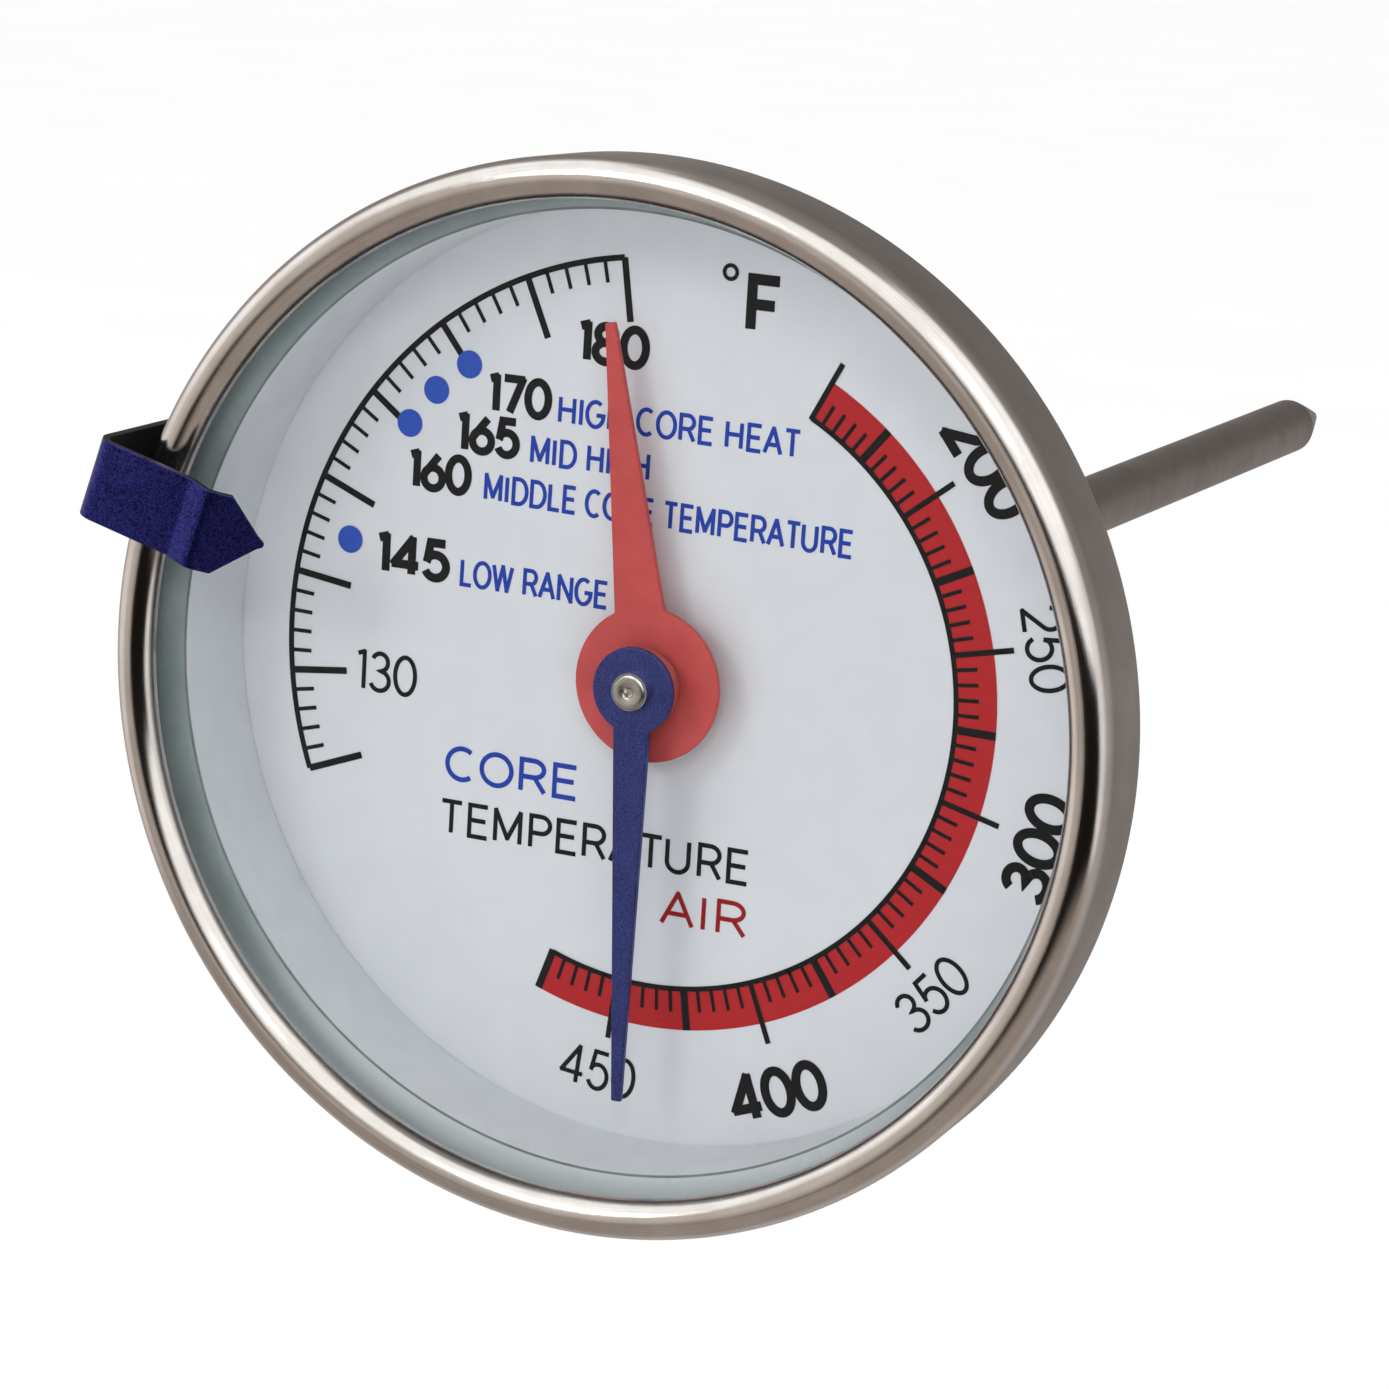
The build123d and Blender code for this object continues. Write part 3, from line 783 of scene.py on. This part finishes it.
# Capital letters and numerals as pen strokes on a body one unit high: (width, strokes).
RING = arc(0.38, 0.5, 0.38, 0.5, 90, 450)
BOWL = [(0, 0), (0, 1), *arc(0.31, 0.73, 0.26, 0.27, 90, -90), (0, 0.46)]
GLYPHS = {
    "0": (0.62, [arc(0.31, 0.5, 0.31, 0.5, 90, 450)]),
    "1": (0.26, [[(0.02, 0.93), (0.22, 1.0), (0.22, 0.0)]]),
    "2": (0.58, [[*arc(0.29, 0.71, 0.28, 0.29, 175, -38), (0.02, 0.0), (0.58, 0.0)]]),
    "3": (0.58, [[*arc(0.28, 0.765, 0.24, 0.235, 160, -90), *arc(0.28, 0.265, 0.29, 0.265, 90, -160)]]),
    "4": (0.66, [[(0.48, 0.0), (0.48, 1.0), (0.0, 0.26), (0.66, 0.26)]]),
    "5": (0.58, [[(0.53, 1.0), (0.13, 1.0), (0.06, 0.5), *arc(0.28, 0.33, 0.29, 0.33, 130, -155)]]),
    "6": (0.60, [arc(0.30, 0.31, 0.29, 0.31, 90, 450), [(0.46, 1.0), (0.035, 0.42)]]),
    "7": (0.56, [[(0.0, 1.0), (0.56, 1.0), (0.2, 0.0)]]),
    "8": (0.60, [arc(0.30, 0.765, 0.24, 0.235, -90, 270), arc(0.30, 0.27, 0.29, 0.27, 90, 450)]),
    "A": (0.70, [[(0.0, 0.0), (0.35, 1.0), (0.70, 0.0)], [(0.12, 0.34), (0.58, 0.34)]]),
    "C": (0.70, [arc(0.37, 0.5, 0.37, 0.5, 52, 308)]),
    "D": (0.66, [[(0, 0), (0, 1), *arc(0.26, 0.5, 0.40, 0.5, 90, -90), (0, 0)]]),
    "E": (0.53, [[(0.53, 1.0), (0.0, 1.0), (0.0, 0.0), (0.54, 0.0)], [(0.0, 0.52), (0.48, 0.52)]]),
    "F": (0.50, [[(0.51, 1.0), (0.0, 1.0), (0.0, 0.0)], [(0.0, 0.5), (0.44, 0.5)]]),
    "G": (0.74, [[*arc(0.37, 0.5, 0.37, 0.5, 52, 340), (0.73, 0.47), (0.42, 0.47)]]),
    "H": (0.62, [[(0, 0), (0, 1)], [(0.62, 0), (0.62, 1)], [(0, 0.52), (0.62, 0.52)]]),
    "I": (0.02, [[(0, 0), (0, 1)]]),
    "L": (0.48, [[(0, 1), (0, 0), (0.49, 0)]]),
    "M": (0.74, [[(0, 0), (0, 1), (0.37, 0.12), (0.74, 1), (0.74, 0)]]),
    "N": (0.62, [[(0, 0), (0, 1), (0.62, 0), (0.62, 1)]]),
    "O": (0.76, [RING]),
    "P": (0.57, [BOWL]),
    "R": (0.60, [BOWL, [(0.34, 0.46), (0.60, 0)]]),
    "T": (0.60, [[(0, 1), (0.60, 1)], [(0.30, 1), (0.30, 0)]]),
    "U": (0.62, [[(0, 1), *arc(0.31, 0.33, 0.31, 0.33, 180, 360), (0.62, 1)]]),
    "W": (0.94, [[(0, 1), (0.235, 0), (0.47, 1), (0.705, 0), (0.94, 1)]]),
    " ": (0.22, []),
}


def gap_between(before, after):
    """Space between two characters; upright stems stand a little further from their neighbours."""
    stem = 0.07
    return 0.18 + stem * (before in "HIMNU") + stem * (after in "DEFHILMNPR")


def word(text, centre, height, width, weight, turn=0.0):
    """Faces of a word centred on a point, scaled to its height and width, turned clockwise."""
    gaps = [gap_between(a, b) for a, b in zip(text, text[1:])]
    natural = sum(GLYPHS[c][0] for c in text) + sum(gaps)
    tall = height - weight
    wide = (width - weight) / natural
    faces, start = [], 0.0
    angle = radians(turn)
    for c, gap in zip(text, [*gaps, 0.0]):
        advance, strokes = GLYPHS[c]
        for stroke in strokes:
            line = []
            for x, y in stroke:
                v = (y - 0.5) * tall
                u = (start + x - natural / 2) * wide
                across = u * cos(angle) + v * sin(angle)
                up = v * cos(angle) - u * sin(angle)
                line.append((centre[0] + across, centre[1] + up))
            if (Vector(line[0]) - Vector(line[-1])).length < 1e-3:
                faces += ribbon(line, weight, True)
                continue
            for run in sharp_runs(line, weight * 0.3):
                faces += ribbon(run, weight)
        start += advance + gap
    return faces


def label(text, left, right, base, height, weight, turn=0.0):
    """A word between two x positions, standing on a base line."""
    return word(text, ((left + right) / 2, base + height / 2), height, right - left, weight, turn)


def make_meat_scale():
    first, last = meat_angle(120), meat_angle(190)
    faces = sector(first, last, DIAL_MEAT - 0.17, DIAL_MEAT + 0.17)
    for value in range(120, 191, 2):
        length, width = 1.32, 0.23
        if value % 10 == 0:
            length, width = 3.6, 0.4
        if value in (160, 170):
            length = 2.5
        faces += tick(meat_angle(value), DIAL_MEAT, DIAL_MEAT - length, width)
    print_piece("meat_scale_print", faces, INK_BLACK, 1)


def make_oven_scale():
    first, last = oven_angle(150), oven_angle(475)
    print_piece("oven_band_print", sector(first, last, BAND_IN, BAND_OUT), INK_RED, 1)
    faces = sector(first, last, BAND_IN - 0.15, BAND_IN + 0.15)
    for value in range(150, 476, 5):
        end, width = BAND_IN + 1.35, 0.22
        if value % 25 == 0:
            end, width = BAND_OUT, 0.46
        if value % 50 == 0:
            end, width = BAND_LONG, 0.32
        faces += tick(oven_angle(value), BAND_IN - 0.1, end, width)
    print_piece("oven_scale_print", faces, INK_BLACK, 2)


def make_dial_words():
    """Numbers, the unit, and plain generic words for the ranges and the two scales."""
    numbers = []
    for text, centre, height, width, weight in (
        ("180", (-4.15, 18.45), 2.5, 4.6, 0.5),
        ("170", (-9.8, 14.85), 2.4, 4.2, 0.48),
        ("165", (-11.65, 12.4), 2.4, 4.2, 0.48),
        ("160", (-14.6, 9.9), 2.4, 4.2, 0.48),
        ("145", (-16.05, 4.8), 2.55, 4.95, 0.52),
        ("130", (-17.4, -2.2), 2.45, 4.05, 0.27),
    ):
        numbers += word(text, centre, height, width, weight)
    print_piece("meat_number_print", numbers, INK_BLACK, 1)

    ovens = []
    for value, radius, clock, heavy in (
        (200, 23.65, 51.9, True),
        (250, 23.25, 77.6, False),
        (300, 23.9, 104.6, True),
        (350, 23.3, 131.0, False),
        (400, 24.2, 159.0, True),
        (450, 23.5, 186.2, False),
    ):
        turn = clock if clock < 90 else clock - 180
        height, width, weight = (3.0, 6.25, 0.56) if heavy else (2.45, 4.8, 0.26)
        ovens += word(str(value), at_clock(radius, clock), height, width, weight, turn)
    print_piece("oven_number_print", ovens, INK_BLACK, 1)

    unit = word("F", (4.9, 21.7), 3.4, 2.2, 0.62)
    unit += ribbon(arc(2.75, 23.3, 0.38, 0.38, 0, 360), 0.23, True)
    print_piece("unit_print", unit, INK_BLACK, 1)

    notes = label("HIGH CORE HEAT", -7.3, 7.6, 13.55, 1.65, 0.24, 0.6)
    notes += label("MID HIGH", -8.9, -1.45, 11.1, 1.65, 0.24, 0.6)
    notes += label("MIDDLE CORE TEMPERATURE", -11.7, 11.1, 8.5, 1.65, 0.24, 0.8)
    notes += label("LOW RANGE", -12.95, -3.55, 3.5, 1.65, 0.24, 0.6)
    notes += label("CORE", -13.3, -4.8, -7.85, 2.1, 0.29)
    print_piece("core_word_print", notes, INK_DEEP_BLUE, 1)

    dots = []
    for centre in ((-20.1, 5.3), (-16.6, 12.5), (-15.0, 14.6), (-13.0, 16.3)):
        dots += disc(centre, 0.8)
    print_piece("mark_dot_print", dots, INK_BLUE, 2)

    print_piece("quantity_print", label("TEMPERATURE", -13.5, 6.1, -11.05, 2.1, 0.27), INK_BLACK, 1)
    print_piece("air_word_print", label("AIR", 0.75, 6.15, -14.1, 2.1, 0.27), INK_DEEP_RED, 1)


make_meat_scale()
make_oven_scale()
make_dial_words()


# ---- the rest of the CAD nodes keep their shape and get a finish ----
FINISH = {
    "case_cup": SATIN,
    "ferrule": TURNED,
    "bearing_bridge": BRASS,
    "bridge_rivets": TURNED,
    "oven_coil": BIMETAL,
    "coil_post": BRASS,
    "oven_bush": BRASS,
    "oven_sleeve": TURNED,
    "oven_boss": TURNED,
    "meat_spindle": TURNED,
    "coil_anchor": TURNED,
    "stem_coil": BIMETAL,
    "upper_guide": BRASS,
    "lower_guide": BRASS,
}
for node, finish in FINISH.items():
    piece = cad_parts[node]
    piece.data.materials.clear()
    piece.data.materials.append(finish)


# ---- floor, light and camera ----
def make_stage():
    """A pale floor well below the part, so that no hard shadow crosses it."""
    side = 6.0
    drop = 0.09
    corners = [(-side, -side, 0), (side, -side, 0), (side, side, 0), (-side, side, 0)]
    mesh = bpy.data.meshes.new("floor")
    mesh.from_pydata(corners, [], [(0, 1, 2, 3)])
    floor = bpy.data.objects.new("floor", mesh)
    floor.location.z = cad_box[0][2] - drop
    bpy.context.scene.collection.objects.link(floor)
    n = Nodes("floor_paper")
    n.set(Roughness=0.9)
    grain = n.noise(n.place(), 0.02, 2.0, 0.5)
    n.link(n.ramp(grain, (0.985, 0.985, 0.985), (1.0, 1.0, 1.0)), n.shader.inputs["Base Color"])
    mesh.materials.append(n.material)
    floor.visible_glossy = False


def area_light(name, place, size, watts):
    """A square soft box that faces the origin."""
    light = bpy.data.lights.new(name, "AREA")
    light.shape = "SQUARE"
    light.size = size
    light.energy = watts
    lamp = bpy.data.objects.new(name, light)
    lamp.location = place
    lamp.rotation_euler = (-Vector(place)).to_track_quat("-Z", "Y").to_euler()
    bpy.context.scene.collection.objects.link(lamp)


def make_light():
    """Two soft boxes in front, left and right, and a room that metal reflects in bands."""
    area_light("key", (-0.42, -0.90, 0.46), 0.28, 1.5)
    area_light("side", (0.36, -0.92, 0.52), 0.20, 1.1)
    n = Nodes("studio", world=True)
    parts = n.add("ShaderNodeSeparateXYZ")
    n.link(n.add("ShaderNodeTexCoord").outputs["Generated"], parts.inputs[0])
    x, y, z = parts.outputs
    tone = n.blend(n.smooth(z, -0.45, 0.0), (0.38, 0.32, 0.28), (0.66, 0.60, 0.54))
    rising = n.math("ADD", z, n.math("MULTIPLY", x, 0.35))
    tone = n.blend(n.smooth(rising, 0.08, 0.22), tone, (1.3, 1.28, 1.26))
    tone = n.blend(n.smooth(z, 0.88, 0.97), tone, (0.30, 0.27, 0.25))
    left = n.blend(n.smooth(z, 0.0, 0.2), (0.88, 0.80, 0.75), (1.25, 1.22, 1.2))
    above_floor = n.smooth(z, -0.55, -0.35)
    tone = n.blend(n.math("MULTIPLY", n.smooth(x, -0.72, -0.92), above_floor), tone, left)
    tone = n.blend(n.math("MULTIPLY", n.smooth(x, 0.87, 0.94), above_floor), tone, (0.95, 0.91, 0.89))
    behind = n.blend(n.smooth(z, -0.10, 0.35), (0.50, 0.46, 0.435), (0.29, 0.265, 0.25))
    tone = n.blend(n.smooth(y, 0.0, 0.35), tone, behind)
    # the dark opening that the camera looks out of, low in front and to the right
    dark = n.math("MULTIPLY", n.smooth(z, -0.60, -0.36), n.smooth(z, 0.10, -0.01))
    dark = n.math("MULTIPLY", dark, n.math("MULTIPLY", n.smooth(x, -0.38, -0.20), n.smooth(x, 0.94, 0.87)))
    dark = n.math("MULTIPLY", dark, n.smooth(y, -0.20, -0.35))
    tone = n.blend(dark, tone, (0.010, 0.008, 0.007))
    seen_by_metal = n.add("ShaderNodeLightPath").outputs["Is Glossy Ray"]
    n.link(n.blend(seen_by_metal, (1.0, 1.0, 1.0), tone), n.shader.inputs["Color"])
    bpy.context.scene.world = n.material
    bpy.context.scene.view_settings.view_transform = "Standard"


def make_camera():
    """A long lens, a little above the dial and to its right."""
    camera = bpy.data.cameras.new("camera")
    camera.sensor_width = 36
    camera.lens = 129.6
    camera.clip_start = 0.01
    camera.clip_end = 50
    view = bpy.data.objects.new("camera", camera)
    back = Vector((0.3994, -0.8901, 0.2194)).normalized()
    up = Vector((-0.1447, 0.1751, 0.9739))
    right = up.cross(back).normalized()
    up = back.cross(right)
    turn = Matrix((right, up, back)).transposed().to_4x4()
    view.matrix_world = Matrix.Translation(Vector((0.11373, -0.25820, 0.06076))) @ turn
    bpy.context.scene.collection.objects.link(view)
    bpy.context.scene.camera = view


make_stage()
make_light()
make_camera()
